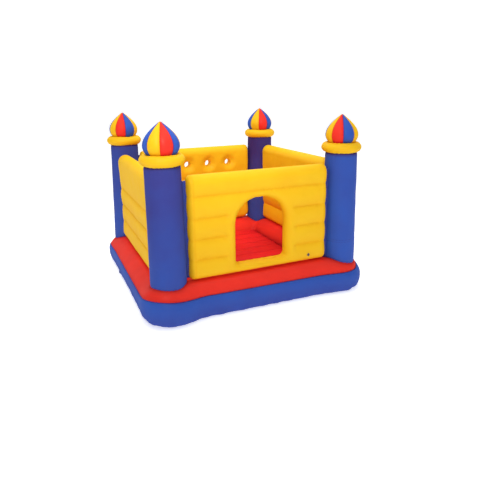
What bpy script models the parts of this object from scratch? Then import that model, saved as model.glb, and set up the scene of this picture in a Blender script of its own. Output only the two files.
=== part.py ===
"""Inflatable castle bounce house: puffy base, four walls, four corner towers with onion domes.

Every inflated chamber is a welded vinyl skin, so each sub-part is a thin closed solid of sheet
vinyl with an open end or edge where it is welded to its neighbour. Metres, +Z up, origin on the
ground under the middle of the base, front wall with the door towards -Y.
"""

from math import cos, exp, hypot, pi, sin, sqrt

import bmesh
import bpy
from mathutils import Matrix, Vector

# Driving dimensions
HALF = 0.875          # half the length of the base, along Y
WIDEN = 0.0115        # its outer side is so much wider along X
HEIGHT = 1.35         # ground to the tips of the domes
SKIN = 0.00045        # vinyl sheet
GAP = 0.0005          # between welded neighbours
SEAM_Z = 0.192        # red-to-blue weld round the base
CORNER_R = 0.22       # plan radius of the base's corners
MIN_CORNER_R = 0.02
SIDE_PULLS = (0.02, 0.02, 0.006, 0.046)  # middle of the right, back, left and front side drawn in
FRONT_SKEW = 0.6      # the front side is drawn in more towards the left, per metre
PULL_FLAT = 0.42      # half length of the drawn-in stretch
LEFT_DROP = 0.035     # the coloured weld sits lower along the left side
LEFT_OUT = 0.02       # and further out
FRONT_DROP = 0.03     # and lower along the front
FRONT_LIFT = 0.01     # the ring's crown is higher along the front
CORNER_LIFT = 0.04    # and highest at the front left corner
RING_WIDTH = 0.345    # outer side of the base to the jump floor
RING_TOP = 0.2455
FLOOR_EDGE = 0.136
FLOOR_VALLEY = 0.156
FLOOR_CREST = 0.170
CHANNELS = 8          # air channels of the jump floor, along X
TOWER_AT = 0.684      # centre of each tower from the middle, along Y
TOWER_FOOT_R = 0.125
TOWER_HEAD_R = 0.119
TOWER_TOP = 1.066
FOOT_GAP = 0.0055     # between a tower and the faceted ring under it
COLLAR_Z = 1.107
COLLAR_MAJOR = 0.1085
COLLAR_MINOR = 0.0395
GORES = 8
GORE_SEAM = 0.94      # seam radius of a dome over its lobe radius
WALL_AT = 0.70
LEFT_WALL_AT = 0.712
WALL_HALF = 0.5545
BACK_WALL_SHORT = 0.026  # the back wall stops short of the back right tower, which leans in
WALL_BOTTOM = 0.248
LEFT_WALL_BOTTOM = 0.262
FRONT_WALL_BOTTOM = 0.266
WALL_TOP = 0.995
RIB_HALF = 0.0575     # half thickness at a rib
CREASE_HALF = 0.042   # half thickness at a crease
CREASES = (0.41, 0.555, 0.70, 0.85)
DOOR_X = -0.006
DOOR_HALF = 0.197
DOOR_BOTTOM = 0.33
DOOR_TOP = 0.80
DOOR_TOP_R = 0.185
DOOR_BOTTOM_R = 0.03
PORTHOLE_R = 0.029
PORTHOLE_Z = 0.84
PORTHOLE_X = (-0.31, -0.104, 0.104, 0.31)
BASE_VALVE = Vector((-(HALF - SIDE_PULLS[2]) * (1 + WIDEN), 0.19, 0.058))
WALL_VALVE = Vector((0.371, -WALL_AT - RIB_HALF, 0.322))
VALVE_HOLE_R = 0.0094

# Cross-sections, as (inset from the base's outline, height)
TRAY_PROFILE = ((0.075, 0.0), (0.022, 0.006), (0.0, 0.03), (0.0, 0.12), (0.012, 0.165), (0.032, SEAM_Z))
RING_PROFILE = (
    (0.0325, SEAM_Z + GAP), (0.055, 0.224), (0.095, 0.242), (0.15, RING_TOP), (0.21, 0.2435),
    (0.255, 0.231), (0.295, 0.208), (0.325, 0.178), (RING_WIDTH, 0.142), (RING_WIDTH + 0.0003, 0.0015),
)
# Dome outline as (radius, height)
DOME_PROFILE = (
    (0.0865, 1.143), (0.112, 1.163), (0.1225, 1.2), (0.1165, 1.238), (0.093, 1.278),
    (0.056, 1.316), (0.022, 1.343), (0.006, HEIGHT),
)

COLOURS = {
    "blue": (0.055, 0.115, 0.44), "red": (0.80, 0.045, 0.035), "yellow": (0.91, 0.52, 0.03),
    "white": (0.85, 0.85, 0.83),
}
GORE_COLOURS = ("blue", "yellow", "red", "blue", "yellow", "red", "blue", "yellow")
# X of the foot, X of the head, side along Y, and the turn of the dome about its tower in degrees
TOWERS = {
    "front_left": (-0.688, -0.692, -1, 19.0), "front_right": (0.693, 0.689, -1, 74.0),
    "back_left": (-0.697, -0.681, 1, 46.0), "back_right": (0.660, 0.673, 1, 30.0),
}
SIDES = ("right", "back", "left", "front")


def material(name):
    found = bpy.data.materials.get(name)
    if found:
        return found
    made = bpy.data.materials.new(name)
    made.use_nodes = True
    shader = made.node_tree.nodes["Principled BSDF"]
    shader.inputs["Base Color"].default_value = (*COLOURS[name], 1.0)
    shader.inputs["Roughness"].default_value = 0.32
    shader.inputs["Metallic"].default_value = 0.0
    return made


def add_object(name, verts, faces, colour, parent=None):
    mesh = bpy.data.meshes.new(name)
    mesh.from_pydata(verts, [], faces)
    mesh.validate()
    mesh.materials.append(material(colour))
    made = bpy.data.objects.new(name, mesh)
    bpy.context.scene.collection.objects.link(made)
    made.parent = parent
    return made


def add_empty(name, place):
    made = bpy.data.objects.new(name, None)
    bpy.context.scene.collection.objects.link(made)
    made.matrix_world = place
    return made


def skin_of(made):
    """Turn an open surface into a sheet of vinyl lying inside it."""
    sheet = made.modifiers.new("sheet", "SOLIDIFY")
    sheet.thickness = SKIN
    sheet.offset = -1.0
    return made


def strip_faces(rows, columns, closed):
    """Quads of a grid whose points are listed row by row; closed joins the last column to the first."""
    faces = []
    for row in range(rows - 1):
        for column in range(columns if closed else columns - 1):
            after = (column + 1) % columns
            low = row * columns
            faces.append((low + column, low + after, low + columns + after, low + columns + column))
    return faces


def cutter(name, verts, faces):
    made = add_object(name, verts, faces, "white")
    made.hide_render = True
    made.display_type = "WIRE"
    return made


def cut(made, tool):
    boolean = made.modifiers.new("cut", "BOOLEAN")
    boolean.operation = "DIFFERENCE"
    boolean.solver = "EXACT"
    boolean.object = tool


def prism(outline, low, high, place):
    """Closed prism of a 2-D outline between two heights, moved by a matrix."""
    count = len(outline)
    verts = [place @ Vector((x, y, z)) for z in (low, high) for x, y in outline]
    faces = [tuple(reversed(range(count))), tuple(range(count, 2 * count))]
    faces += [(i, (i + 1) % count, count + (i + 1) % count, count + i) for i in range(count)]
    return verts, faces


def circle(radius, count):
    return [(radius * cos(2 * pi * i / count), radius * sin(2 * pi * i / count)) for i in range(count)]


def lathe(profile, count):
    """Closed ring turned about Z from a closed (radius, height) outline listed clockwise."""
    verts = [
        (r * cos(2 * pi * i / count), r * sin(2 * pi * i / count), z)
        for i in range(count) for r, z in profile
    ]
    size = len(profile)
    faces = []
    for i in range(count):
        near = i * size
        far = (i + 1) % count * size
        for j in range(size):
            faces.append((near + j, near + (j + 1) % size, far + (j + 1) % size, far + j))
    return verts, faces


# ---- base ----

def side_pull(along):
    """Share of SIDE_PULL at a distance from the middle of a side."""
    if along <= PULL_FLAT:
        return 1.0
    share = (along - PULL_FLAT) / (HALF - CORNER_R - PULL_FLAT)
    return max(0.0, (1.0 - share * share)) ** 2


SIDE_POINTS = (-0.75, -0.5, 0.0, 0.5, 0.75)
ARC_STEPS = 6
QUARTER = len(SIDE_POINTS) + ARC_STEPS + 1


def base_outline(inset):
    """Rounded square inset from the base's outer side, counter-clockwise from the right side."""
    half = HALF - inset
    radius = max(CORNER_R - inset, MIN_CORNER_R)
    reach = half - radius
    pull_share = max(0.0, 1.0 - inset / 0.2)
    points = []
    for turn, pull in enumerate(SIDE_PULLS):
        c, s = (1, 0, -1, 0)[turn], (0, 1, 0, -1)[turn]
        skew = FRONT_SKEW if SIDES[turn] == "front" else 0.0
        quarter = []
        for u in SIDE_POINTS:
            drawn_in = pull * pull_share * side_pull(abs(reach * u)) * (1 - skew * reach * u)
            quarter.append((half - drawn_in, reach * u))
        for step in range(ARC_STEPS + 1):
            angle = pi / 2 * step / ARC_STEPS
            quarter.append((reach + radius * cos(angle), reach + radius * sin(angle)))
        points += [((c * x - s * y) * (1 + WIDEN * pull_share), s * x + c * y) for x, y in quarter]
    return points


def smooth_share(value):
    share = min(max(value, 0.0), 1.0)
    return share * share * (3 - 2 * share)


def left_share(x):
    """1 along the left side and 0 over the rest of the base."""
    return smooth_share((-x - 0.62) / 0.2)


def raised(x, y, z, fall):
    """Height of a point of the base once its weld is dropped and its crown lifted."""
    corner = exp(-((x + 0.8) ** 2 + (y + 0.8) ** 2) / 0.2 ** 2)
    drop = max(LEFT_DROP * left_share(x), FRONT_DROP * smooth_share((-y - 0.62) / 0.2)) * (1 - corner)
    lift = FRONT_LIFT * smooth_share((-y - 0.65) / 0.1) + CORNER_LIFT * corner
    crown = sqrt(max(z - SEAM_Z, 0.0) / (RING_TOP - SEAM_Z))
    return z - drop * fall + lift * crown


def ring_fall(inset, z):
    """Share of the weld's drop that a level of the ring's top follows."""
    return (RING_TOP - z) / (RING_TOP - SEAM_Z) if inset < 0.15 else 0.0


def base_level(inset, z, fall):
    """Outline of the base at one level, moved out along the left side by a share of the weld's drop."""
    row = []
    lowered = base_outline(max(inset - LEFT_OUT * fall, 0.0))
    for (x, y), (x_out, y_out) in zip(base_outline(inset), lowered):
        share = left_share(x)
        row.append((x + (x_out - x) * share, y + (y_out - y) * share, raised(x, y, z, fall)))
    return row


def base_tray():
    """Blue underside and outer side of the base, up to the coloured weld."""
    verts = []
    for inset, z in TRAY_PROFILE:
        verts += base_level(inset, z, (z / SEAM_Z) ** 4)
    count = 4 * QUARTER
    faces = strip_faces(len(TRAY_PROFILE), count, True)
    faces.append(tuple(reversed(range(count))))
    tray = skin_of(add_object("base_tray_skin", verts, faces, "blue"))
    verts, faces = prism(circle(VALVE_HOLE_R, 16), -0.02, 0.02, valve_place(BASE_VALVE, "left"))
    cut(tray, cutter("base_valve_cutter", verts, faces))


def base_ring():
    """Red top of the puffy ring, over its crown and down its inner side, mitred at the corners."""
    levels = [base_level(inset, z, ring_fall(inset, z)) for inset, z in RING_PROFILE]
    mitre = len(SIDE_POINTS) + ARC_STEPS // 2
    for turn, side in enumerate(SIDES):
        verts = []
        first = turn * QUARTER + mitre - QUARTER
        for level in levels:
            strip = [Vector(level[(first + i) % len(level)]) for i in range(QUARTER + 1)]
            strip[0] += (strip[1] - strip[0]).normalized() * GAP
            strip[-1] += (strip[-2] - strip[-1]).normalized() * GAP
            verts += [tuple(point) for point in strip]
        faces = strip_faces(len(levels), QUARTER + 1, False)
        skin_of(add_object(f"base_ring_{side}_skin", verts, faces, "red"))


def inset_at(x, y):
    """Distance of a point from the base's outer side, sides taken as straight."""
    reach = HALF - CORNER_R
    if min(abs(x), abs(y)) > reach:
        return CORNER_R - hypot(abs(x) - reach, abs(y) - reach)
    return HALF - max(abs(x), abs(y))


def ring_height(x, y):
    """Height of the ring's crown over a point, between the points of its cross-section."""
    widened = 1 + WIDEN * max(0.0, 1.0 - inset_at(x, y) / 0.2)
    inset = inset_at(x / widened, y)
    levels = []
    for near, z in RING_PROFILE:
        fall = ring_fall(near, z)
        levels.append((near - LEFT_OUT * fall * left_share(x), raised(x, y, z, fall)))
    for (near, z_near), (far, z_far) in zip(levels, levels[1:]):
        if near <= inset <= far:
            return z_near + (z_far - z_near) * (inset - near) / (far - near)
    return RING_PROFILE[0][1]


def jump_floor():
    """Red jump floor with air channels along X, turned down at its edge."""
    half = HALF - RING_WIDTH - SKIN - 0.0015
    steps = 4
    columns = [-1.0, -0.93, -0.5, 0.5, 0.93, 1.0]
    verts = []
    for i in range(CHANNELS * steps + 1):
        v = 2 * i / (CHANNELS * steps) - 1
        bulge = abs(sin(pi * i / steps)) ** 0.7
        for u in columns:
            crown = bulge * (1 - abs(u) ** 12)
            z = FLOOR_VALLEY + (FLOOR_CREST - FLOOR_VALLEY) * crown
            if max(abs(u), abs(v)) > 0.999:
                z = FLOOR_EDGE
            verts.append((half * u * (1 - 0.02 * v ** 8), half * v * (1 - 0.02 * u ** 8), z))
    faces = strip_faces(CHANNELS * steps + 1, len(columns), False)
    skin_of(add_object("jump_floor_skin", verts, faces, "red"))


def floor_webs():
    """One pleated sheet of vinyl that ties each valley of the jump floor to the bottom sheet."""
    low, high = 0.0015, FLOOR_VALLEY - SKIN - 0.001
    half = HALF - RING_WIDTH - 0.045
    pitch = 2 * (HALF - RING_WIDTH - SKIN - 0.0015) / CHANNELS
    flange = 0.012
    path = [(-half, low)]
    for i in range(1, CHANNELS):
        y = (i - CHANNELS / 2) * pitch
        path += [(y - flange, low), (y - flange, high), (y + flange, high), (y + flange, low)]
    path.append((half, low))
    verts = [(x, y, z) for x in (-half, half) for y, z in path]
    skin_of(add_object("floor_webs", verts, strip_faces(2, len(path), False), "blue"))


# ---- towers ----

def tower(name, x, y, lean):
    """Blue tube, open at the foot where it is welded to the ring and at the top under its collar."""
    sides = 20
    levels = (0.0, 0.33, 0.67, 0.965, 1.0)
    foot_x = x - lean
    foot = [
        ring_height(foot_x + TOWER_FOOT_R * dx, y + TOWER_FOOT_R * dy) + FOOT_GAP for dx, dy in circle(1.0, sides)
    ]
    verts = []
    for level in levels:
        radius = TOWER_FOOT_R + (TOWER_HEAD_R - TOWER_FOOT_R) * level
        if level == 1.0:
            radius = TOWER_HEAD_R - 0.014
        for low, (dx, dy) in zip(foot, circle(radius, sides)):
            verts.append((dx - lean * (1 - level), dy, low + (TOWER_TOP - low) * level))
    parent = bpy.data.objects[name]
    skin_of(add_object(f"{name}_tower_skin", verts, strip_faces(len(levels), sides, True), "blue", parent))


def collar(name):
    """Yellow ring round the neck, a torus skin left open towards its tower."""
    sides, arc_steps, opening = 20, 8, pi / 4
    verts = []
    for step in range(arc_steps + 1):
        angle = pi - opening - (2 * pi - 2 * opening) * step / arc_steps
        radius = COLLAR_MAJOR + COLLAR_MINOR * cos(angle)
        z = COLLAR_Z - COLLAR_MINOR * sin(angle)
        verts += [(radius * x, radius * y, z) for x, y in circle(1.0, sides)]
    parent = bpy.data.objects[name]
    skin_of(add_object(f"{name}_collar_skin", verts, strip_faces(arc_steps + 1, sides, True), "yellow", parent))


def gore(name, number, start):
    """One lobed panel of an onion dome, welded to its neighbours along its long edges."""
    width = 2 * pi / GORES
    across = 3
    verts = []
    for radius, z in DOME_PROFILE:
        margin = GAP / 2 / radius
        for i in range(across + 1):
            share = i / across
            angle = start + margin + (width - 2 * margin) * share
            lobe = radius * (GORE_SEAM + (1 - GORE_SEAM) * sin(pi * share))
            verts.append((lobe * cos(angle), lobe * sin(angle), z))
    parent = bpy.data.objects[name]
    faces = strip_faces(len(DOME_PROFILE), across + 1, False)
    colour = GORE_COLOURS[number - 1]
    skin_of(add_object(f"{name}_gore_{number}_{colour}", verts, faces, colour, parent))


def corner_tower(name, foot_x, head_x, side_y, turn):
    add_empty(name, Matrix.Translation((head_x, side_y * TOWER_AT, 0)))
    bpy.context.view_layer.update()
    tower(name, head_x, side_y * TOWER_AT, head_x - foot_x)
    collar(name)
    # The yellow-to-red seam faces the front, turned by so many degrees towards the left side.
    seam = -pi / 2 - turn * pi / 180
    for number in range(1, GORES + 1):
        gore(name, number, seam + (number - 3) * 2 * pi / GORES)


# ---- walls ----

def wall_profile(creases, bottom):
    """Closed (offset, height) outline of a ribbed wall: fat top tube over lower ribs."""
    side = [(0.04, bottom + 0.008), (RIB_HALF, bottom + 0.04)]
    edges = [bottom + 0.02, *creases, WALL_TOP]
    for low, high in zip(edges, edges[1:]):
        if low != edges[0]:
            side.append((CREASE_HALF, low))
            side.append((RIB_HALF, low + 0.3 * (high - low)))
        side.append((RIB_HALF, low + 0.68 * (high - low)))
    side.append((0.034, WALL_TOP - 0.012))
    outer = [(-n, z) for n, z in side]
    return [(0.0, bottom), *side, (0.0, WALL_TOP), *reversed(outer)]


def rounded_door():
    """Door outline as (x, z), with fully rounded upper corners and tight lower ones."""
    corners = (
        (DOOR_HALF, DOOR_BOTTOM, DOOR_BOTTOM_R, -90), (DOOR_HALF, DOOR_TOP, DOOR_TOP_R, 0),
        (-DOOR_HALF, DOOR_TOP, DOOR_TOP_R, 90), (-DOOR_HALF, DOOR_BOTTOM, DOOR_BOTTOM_R, 180),
    )
    points = []
    for x, z, radius, start in corners:
        centre_x = x - radius if x > 0 else x + radius
        centre_z = z - radius if z == DOOR_TOP else z + radius
        for step in range(5):
            angle = (start + 22.5 * step) * pi / 180
            points.append((DOOR_X + centre_x + radius * cos(angle), centre_z + radius * sin(angle)))
    return points


def baked(made):
    """Replace an object's mesh by its evaluated one and drop its modifiers."""
    bpy.context.view_layer.update()
    graph = bpy.context.evaluated_depsgraph_get()
    mesh = bpy.data.meshes.new_from_object(made.evaluated_get(graph))
    made.modifiers.clear()
    made.data = mesh


def wall(name, turn, creases, holes, valve=None, at=WALL_AT, start=-WALL_HALF, bottom=WALL_BOTTOM):
    """Yellow ribbed sleeve, open at both ends where it is welded to the towers."""
    place = Matrix.Rotation(turn * pi / 2, 4, "Z") @ Matrix.Translation((0, -at, 0))
    # Outline in (offset, height), swept along the wall.
    sweep = place @ Matrix(((0, 0, 1, 0), (1, 0, 0, 0), (0, 1, 0, 0), (0, 0, 0, 1)))
    verts, faces = prism(wall_profile(creases, bottom), start, WALL_HALF, sweep)
    made = add_object(name, verts, faces, "yellow")
    through = place @ Matrix(((1, 0, 0, 0), (0, 0, -1, 0), (0, 1, 0, 0), (0, 0, 0, 1)))
    for i, outline in enumerate(holes):
        verts, faces = prism(outline, -0.1, 0.1, through)
        cut(made, cutter(f"{name}_cutter_{i}", verts, faces))
    baked(made)
    along = (place.to_3x3() @ Vector((1, 0, 0))).normalized()
    mesh = bmesh.new()
    mesh.from_mesh(made.data)
    middles = {face: face.calc_center_median().dot(along) for face in mesh.faces}
    ends = [f for f, s in middles.items() if abs(s - start) < 1e-5 or abs(s - WALL_HALF) < 1e-5]
    bmesh.ops.delete(mesh, geom=ends, context="FACES")
    mesh.to_mesh(made.data)
    mesh.free()
    skin_of(made)
    if valve:
        verts, faces = prism(circle(VALVE_HOLE_R, 16), -0.02, 0.02, valve_place(valve, "front"))
        cut(made, cutter(f"{name}_valve_cutter", verts, faces))


# ---- valves ----

VALVE_SIDES = 16
CAP_HINGE = (0.0, 0.0125, 0.0034)
FLAP_HINGE = (0.0, 0.0068, -0.0119)


def valve_place(point, facing):
    """Valve frame: Z out of the skin, Y up."""
    if facing == "left":
        turn = Matrix(((0, 0, -1, 0), (-1, 0, 0, 0), (0, 1, 0, 0), (0, 0, 0, 1)))
    else:
        turn = Matrix(((1, 0, 0, 0), (0, 0, -1, 0), (0, 1, 0, 0), (0, 0, 0, 1)))
    return Matrix.Translation(point) @ turn


def hinged(name, verts, faces, hinge, parent):
    """A piece whose origin lies on its hinge."""
    moved = [tuple(Vector(v) - Vector(hinge)) for v in verts]
    made = add_object(name, moved, faces, "white", parent)
    made.location = hinge
    return made


def valve(name, point, facing):
    parent = add_empty(name, valve_place(point, facing))
    seat = ((0.0076, 0.0012), (0.016, 0.0012), (0.016, 0.0004), (0.0088, 0.0004),
            (0.0088, -0.01), (0.0076, -0.01))
    stopper = ((0.0052, 0.003), (0.0112, 0.003), (0.0112, 0.0016), (0.0072, 0.0016),
               (0.0072, -0.0115), (0.0052, -0.0115))
    for piece, profile in (("seat", seat), ("stopper", stopper)):
        verts, faces = lathe(profile, VALVE_SIDES)
        add_object(f"{name}_{piece}", verts, faces, "white", parent)
    verts, faces = prism(circle(0.0066, VALVE_SIDES), -0.0127, FLAP_HINGE[2], Matrix())
    hinged(f"{name}_flap", verts, faces, FLAP_HINGE, parent)
    valve_cap(name, parent)


def valve_cap(name, parent):
    """Push-in cap: disc, short plug, hinge tab above and finger tab below."""
    disc_r, tab_half, plug_r = 0.01, 0.0022, 0.0038
    tab_low = -0.0132
    outline = []
    for x, y in circle(disc_r, VALVE_SIDES):
        if abs(x) < tab_half:
            reach = CAP_HINGE[1] if y > 0 else tab_low
            outline += [(tab_half if y > 0 else -tab_half, reach), (-tab_half if y > 0 else tab_half, reach)]
        else:
            outline.append((x, y))
    verts, faces = prism(outline, CAP_HINGE[2], 0.0054, Matrix())
    cap = hinged(f"{name}_cap", verts, faces, CAP_HINGE, parent)
    verts, faces = prism(circle(plug_r, VALVE_SIDES), 0.0018, 0.0046, parent.matrix_world)
    plug = cutter(f"{name}_cap_plug", verts, faces)
    join = cap.modifiers.new("plug", "BOOLEAN")
    join.operation = "UNION"
    join.solver = "EXACT"
    join.object = plug


# ---- build ----

for old in list(bpy.data.objects):
    bpy.data.objects.remove(old, do_unlink=True)

base_tray()
base_ring()
jump_floor()
floor_webs()
for tower_name, (foot_x, head_x, side_y, turn) in TOWERS.items():
    corner_tower(tower_name, foot_x, head_x, side_y, turn)

portholes = [[(x + dx, PORTHOLE_Z + dz) for dx, dz in circle(PORTHOLE_R, 12)] for x in PORTHOLE_X]
wall("front_wall_skin", 0, CREASES, [rounded_door()], WALL_VALVE, bottom=FRONT_WALL_BOTTOM)
wall("right_wall_skin", 1, CREASES, [])
wall("back_wall_skin", 2, CREASES[:-1], portholes, start=-WALL_HALF + BACK_WALL_SHORT)
wall("left_wall_skin", 3, CREASES, [], at=LEFT_WALL_AT, bottom=LEFT_WALL_BOTTOM)
valve("base_valve", BASE_VALVE, "left")
valve("wall_valve", WALL_VALVE, "front")
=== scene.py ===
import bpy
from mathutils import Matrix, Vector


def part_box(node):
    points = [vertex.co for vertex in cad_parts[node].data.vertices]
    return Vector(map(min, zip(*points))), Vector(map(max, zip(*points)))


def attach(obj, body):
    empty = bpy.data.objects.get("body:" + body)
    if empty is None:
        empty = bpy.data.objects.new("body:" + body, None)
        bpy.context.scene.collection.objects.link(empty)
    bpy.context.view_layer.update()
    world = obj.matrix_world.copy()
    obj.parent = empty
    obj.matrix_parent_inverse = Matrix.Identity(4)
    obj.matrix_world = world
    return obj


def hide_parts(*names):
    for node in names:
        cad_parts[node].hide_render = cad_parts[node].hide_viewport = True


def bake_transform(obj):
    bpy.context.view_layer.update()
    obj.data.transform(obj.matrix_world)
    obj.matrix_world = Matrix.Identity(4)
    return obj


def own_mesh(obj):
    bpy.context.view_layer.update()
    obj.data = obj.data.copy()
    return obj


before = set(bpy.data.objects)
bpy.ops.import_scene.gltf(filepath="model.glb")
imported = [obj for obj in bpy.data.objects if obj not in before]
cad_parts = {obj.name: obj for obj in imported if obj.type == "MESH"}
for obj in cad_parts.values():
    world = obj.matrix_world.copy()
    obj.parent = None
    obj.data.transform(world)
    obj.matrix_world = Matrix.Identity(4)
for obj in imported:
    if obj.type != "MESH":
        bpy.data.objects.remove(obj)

"""Looks of the inflatable castle bounce house: glossy vinyl chambers around the CAD frame.

Every inflated surface is a fine grid worked out from the CAD boxes: the crown of each tube, the
creases of its ribs, the small puckers along each weld and the slow waves of tight vinyl.
"""

from math import cos, pi, radians, sin

import bmesh
import bpy
import numpy as np
from mathutils import Matrix, Vector

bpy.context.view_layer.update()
ROOT = "inflatable"
UP = Vector((0, 0, 1))

# ---- sizes read from the frame ----
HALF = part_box("base_tray_skin")[1].y
BASE_LOW, BASE_HIGH = (np.array(corner[:2]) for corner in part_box("base_tray_skin"))
SEAM_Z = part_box("base_tray_skin")[1].z
RING_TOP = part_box("base_ring_back_skin")[1].z
FLOOR_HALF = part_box("jump_floor_skin")[1].x + 0.002
FLOOR_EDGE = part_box("jump_floor_skin")[0].z + 0.0005
FLOOR_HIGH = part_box("jump_floor_skin")[1].z
FLOOR_LOW = FLOOR_HIGH - 0.014
TOWER_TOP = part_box("front_left_tower_skin")[1].z
WALL_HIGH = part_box("front_wall_skin")[1].z
RIB_HALF = (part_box("front_wall_skin")[1].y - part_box("front_wall_skin")[0].y) / 2
WALL_AT = -(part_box("front_wall_skin")[1].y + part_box("front_wall_skin")[0].y) / 2
LEFT_WALL_AT = -(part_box("left_wall_skin")[1].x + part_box("left_wall_skin")[0].x) / 2

# ---- sizes that repeat the CAD's ----
CORNER_R = 0.22
WIDEN = 0.0115
SIDE_PULLS = (0.02, 0.02, 0.006, 0.046)
SIDE_SKEWS = (0.0, 0.0, 0.0, 0.6)
PULL_FLAT = 0.42
LEFT_DROP = 0.035
LEFT_OUT = 0.02
FRONT_DROP = 0.03
FRONT_LIFT = 0.01
CORNER_LIFT = 0.04
TOWER_FOOT_R = 0.125
TOWER_HEAD_R = 0.119
FRONT_CREASES = (0.41, 0.555, 0.70, 0.852)
SIDE_CREASES = (0.41, 0.555, 0.70)
DOOR_X = -0.006
DOOR_HALF = 0.197
DOOR_LOW = 0.33
DOOR_HIGH = 0.80
DOOR_TOP_R = 0.185
DOOR_BOTTOM_R = 0.03
PORTHOLE_R = 0.029
PORTHOLE_Z = 0.84
PORTHOLE_X = (-0.31, -0.104, 0.104, 0.31)
CHANNELS = 8
GORES = 8
SIDES = ("front", "right", "back", "left")
FOOT_SINK = 0.006     # how far a tower's foot is pressed into the ring
COLLAR_WELDS = (pi * 0.62, pi * 1.38)
# X of the foot and of the head, and the turn of the dome in degrees
TOWERS = {
    "front_left": (-0.688, -0.692, 19.0), "front_right": (0.693, 0.689, 74.0),
    "back_left": (-0.697, -0.681, 46.0), "back_right": (0.660, 0.673, 30.0),
}
# painted shade on each tower's blue, growing towards its neck
TOWER_SHADE = {"front_left": 0.7, "front_right": 0.12, "back_left": 0.5, "back_right": 1.0}
GORE_COLOURS = ("blue", "yellow", "red", "blue", "yellow", "red", "blue", "yellow")


# ---- number helpers ----

def waves(along, seed, low=0.018, high=0.045, count=7):
    """Smooth 1-D noise from -1 to 1 with wavelengths between low and high, in metres."""
    rng = np.random.default_rng(seed)
    total = np.zeros_like(along)
    for _ in range(count):
        total += np.sin(2 * pi * along / rng.uniform(low, high) + rng.uniform(0, 2 * pi))
    return total / count ** 0.5 / 1.4


def clouds(points, wavelength, seed, count=9):
    """Smooth 3-D noise of about -1 to 1 over points of shape (..., 3)."""
    rng = np.random.default_rng(seed)
    total = np.zeros(points.shape[:-1])
    for _ in range(count):
        way = rng.normal(size=3)
        way *= 2 * pi / wavelength / np.linalg.norm(way) * rng.uniform(0.6, 1.5)
        total += np.sin(points @ way + rng.uniform(0, 2 * pi))
    return total / count ** 0.5 / 1.4


def smoothstep(value, low, high):
    share = np.clip((value - low) / (high - low), 0, 1)
    return share * share * (3 - 2 * share)


def round_edge(distance, radius):
    """Share of the full thickness at a distance from an edge closed by a half circle."""
    share = 1 - np.clip(distance / radius, 0, 1)
    return np.sqrt(np.clip(1 - share * share, 0, 1))


def curve_through(points, steps):
    """Catmull-Rom curve through points, steps samples per stretch, ends included."""
    points = np.array(points, float)
    padded = np.vstack([2 * points[0] - points[1], points, 2 * points[-1] - points[-2]])
    made = []
    for i in range(len(points) - 1):
        a, b, c, d = padded[i:i + 4]
        for t in np.linspace(0, 1, steps, endpoint=False):
            made.append(0.5 * (2 * b + (c - a) * t + (2 * a - 5 * b + 4 * c - d) * t * t
                               + (3 * b - a - 3 * c + d) * t ** 3))
    made.append(points[-1])
    return np.array(made)


def grid_normals(points, wrap):
    """Unit normals of a grid (rows, columns, 3)."""
    down = np.gradient(points, axis=0)
    if wrap:
        across = (np.roll(points, -1, axis=1) - np.roll(points, 1, axis=1)) / 2
    else:
        across = np.gradient(points, axis=1)
    normal = np.cross(across, down)
    length = np.linalg.norm(normal, axis=-1, keepdims=True)
    return normal / np.maximum(length, 1e-12)


# ---- mesh helpers ----

def mesh_object(name, verts, faces, material, crease=None):
    """Smooth-shaded object from arrays, with a crease attribute of painted shade for the material."""
    mesh = bpy.data.meshes.new(name)
    mesh.from_pydata(np.asarray(verts, float).reshape(-1, 3).tolist(), [], faces)
    if crease is not None:
        layer = mesh.attributes.new("crease", "FLOAT", "POINT")
        layer.data.foreach_set("value", np.asarray(crease, np.float32).ravel())
    mesh.materials.append(material)
    mesh.shade_smooth()
    made = bpy.data.objects.new(name, mesh)
    bpy.context.scene.collection.objects.link(made)
    return made


def grid_faces(rows, columns, wrap, start=0):
    last = columns if wrap else columns - 1
    row, column = np.meshgrid(np.arange(rows - 1), np.arange(last), indexing="ij")
    after = (column + 1) % columns
    quads = np.stack([row * columns + column, row * columns + after,
                      (row + 1) * columns + after, (row + 1) * columns + column], axis=-1)
    return (quads.reshape(-1, 4) + start).tolist()


def grid_object(name, points, material, wrap=False, crease=None):
    rows, columns = points.shape[:2]
    return mesh_object(name, points, grid_faces(rows, columns, wrap), material, crease)


def tidy_mesh(made, distance=2e-5):
    """Weld the points that meet and turn every face outwards."""
    work = bmesh.new()
    work.from_mesh(made.data)
    bmesh.ops.remove_doubles(work, verts=work.verts, dist=distance)
    bmesh.ops.dissolve_degenerate(work, edges=work.edges, dist=1e-6)
    bmesh.ops.recalc_face_normals(work, faces=work.faces)
    work.to_mesh(made.data)
    work.free()
    made.data.shade_smooth()


def place(made, slot, *nodes, body=ROOT, fill=None):
    """Finish a piece: hide the CAD nodes it stands for and attach it to its body; slot and fill are not
    used.
    """
    if nodes:
        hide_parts(*nodes)
    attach(made, body)
    return made


# ---- materials ----

def new_material(name):
    """Material with its nodes, links, shader and object coordinates."""
    made = bpy.data.materials.new(name)
    made.use_nodes = True
    nodes, links = made.node_tree.nodes, made.node_tree.links
    place_of = nodes.new("ShaderNodeTexCoord").outputs["Object"]
    return made, nodes, links, nodes["Principled BSDF"], place_of


def noise(nodes, links, vector, scale, detail):
    made = nodes.new("ShaderNodeTexNoise")
    made.inputs["Scale"].default_value = scale
    made.inputs["Detail"].default_value = detail
    links.new(vector, made.inputs["Vector"])
    return made


def bump(nodes, links, height, strength, distance):
    made = nodes.new("ShaderNodeBump")
    made.inputs["Strength"].default_value = strength
    made.inputs["Distance"].default_value = distance
    links.new(height, made.inputs["Height"])
    return made


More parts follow.
